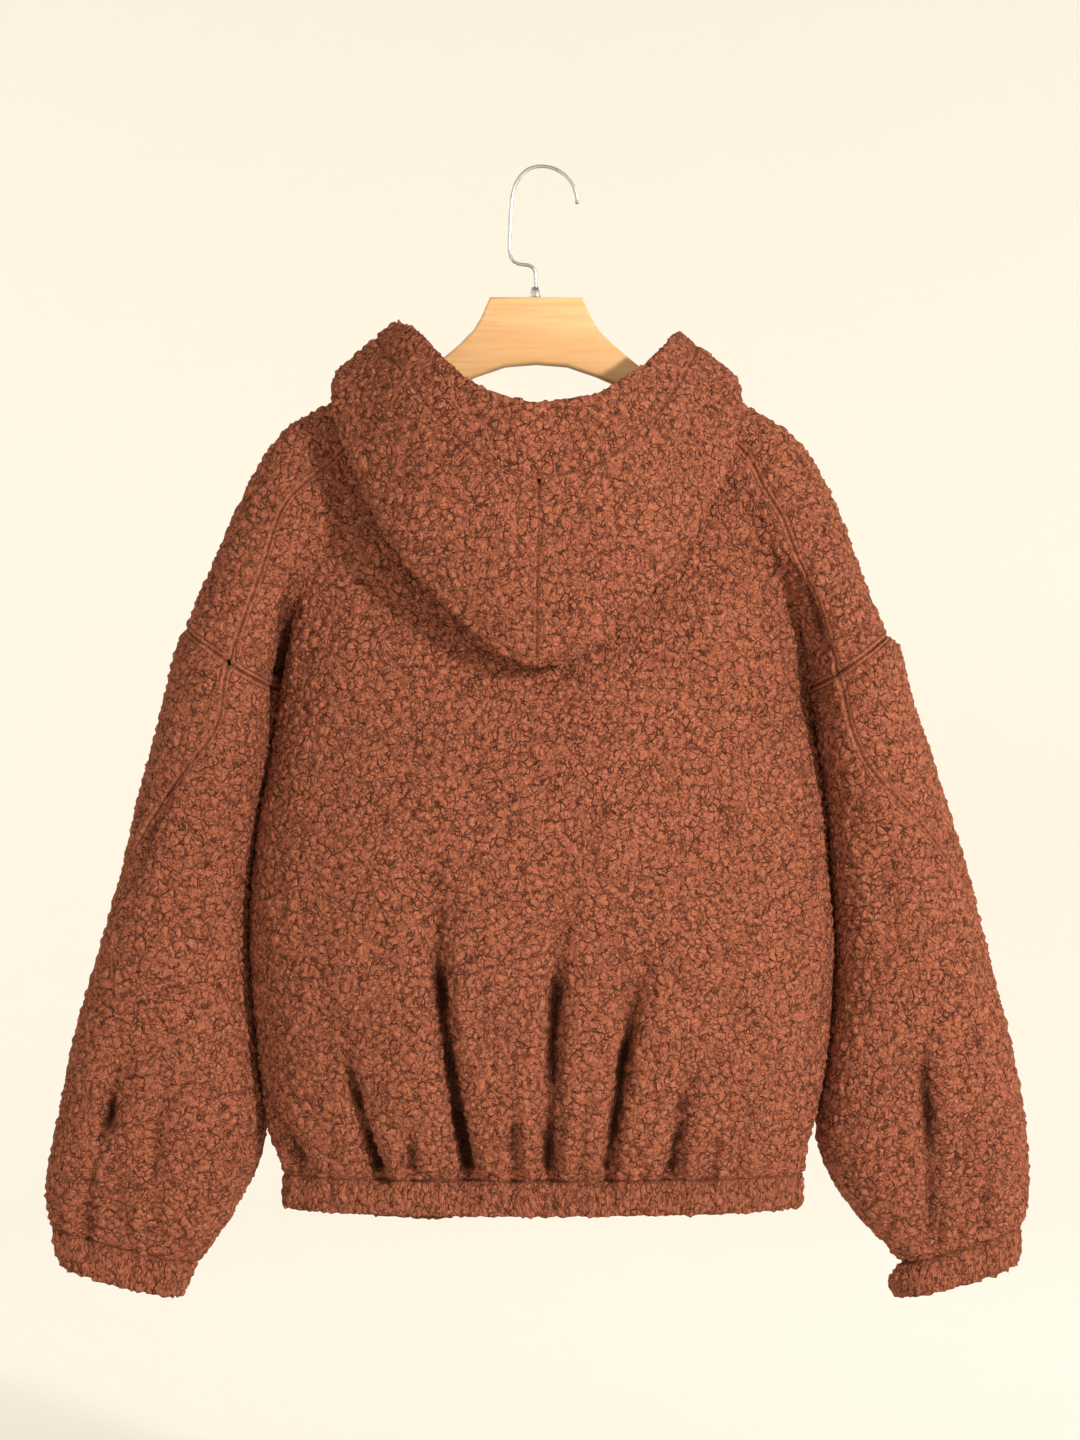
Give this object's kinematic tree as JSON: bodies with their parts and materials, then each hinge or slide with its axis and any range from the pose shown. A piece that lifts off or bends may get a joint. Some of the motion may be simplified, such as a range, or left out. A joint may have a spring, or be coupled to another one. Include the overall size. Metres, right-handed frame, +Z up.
{
  "type": "hooded sherpa jacket on a hanger",
  "caption": "Hooded sherpa fleece jacket hung on a wooden hanger, hood down, long sleeves, elastic cuffs and hem, front zip; open neck, hem and cuffs",
  "frame": {"origin": "inside top of the hanger's hook, where a rail would carry it", "axes": "+Z up, +X towards the wearer's right, +Y out of the wearer's front; the jacket's back faces -Y"},
  "size_m": [0.768, 0.193, 0.8868],
  "materials": {
    "sherpa": "curly pile",
    "zip_tape": "woven tape",
    "zip_metal": "aged satin",
    "hanger_wood": "satin lacquer",
    "hook_steel": "bright wire"
  },
  "bodies": {
    "jacket": {"back": "sherpa", "front_left": "sherpa", "front_right": "sherpa", "sleeve_left_front": "sherpa", "sleeve_left_back": "sherpa", "sleeve_right_front": "sherpa", "sleeve_right_back": "sherpa", "cuff_left": "sherpa", "cuff_right": "sherpa", "hem_back": "sherpa", "hem_front_left": "sherpa", "hem_front_right": "sherpa", "hood_left": "sherpa", "hood_right": "sherpa", "hood_band": "sherpa", "zip_tape_left": "zip_tape", "zip_tape_right": "zip_tape", "zip_slider": "zip_metal", "hanger": "hanger_wood", "hanger_hook": "hook_steel", "hanger_ferrule": "hook_steel"},
    "pull_tab": {"zip_pull": "zip_metal"}
  },
  "joints": [
    {"name": "zip_pull_swing", "type": "hinge", "parent": "jacket", "child": "pull_tab", "pos_m": [0, 0.04924, -0.28222], "axis": [1, 0, 0], "range_deg": [0, 150]}
  ]
}
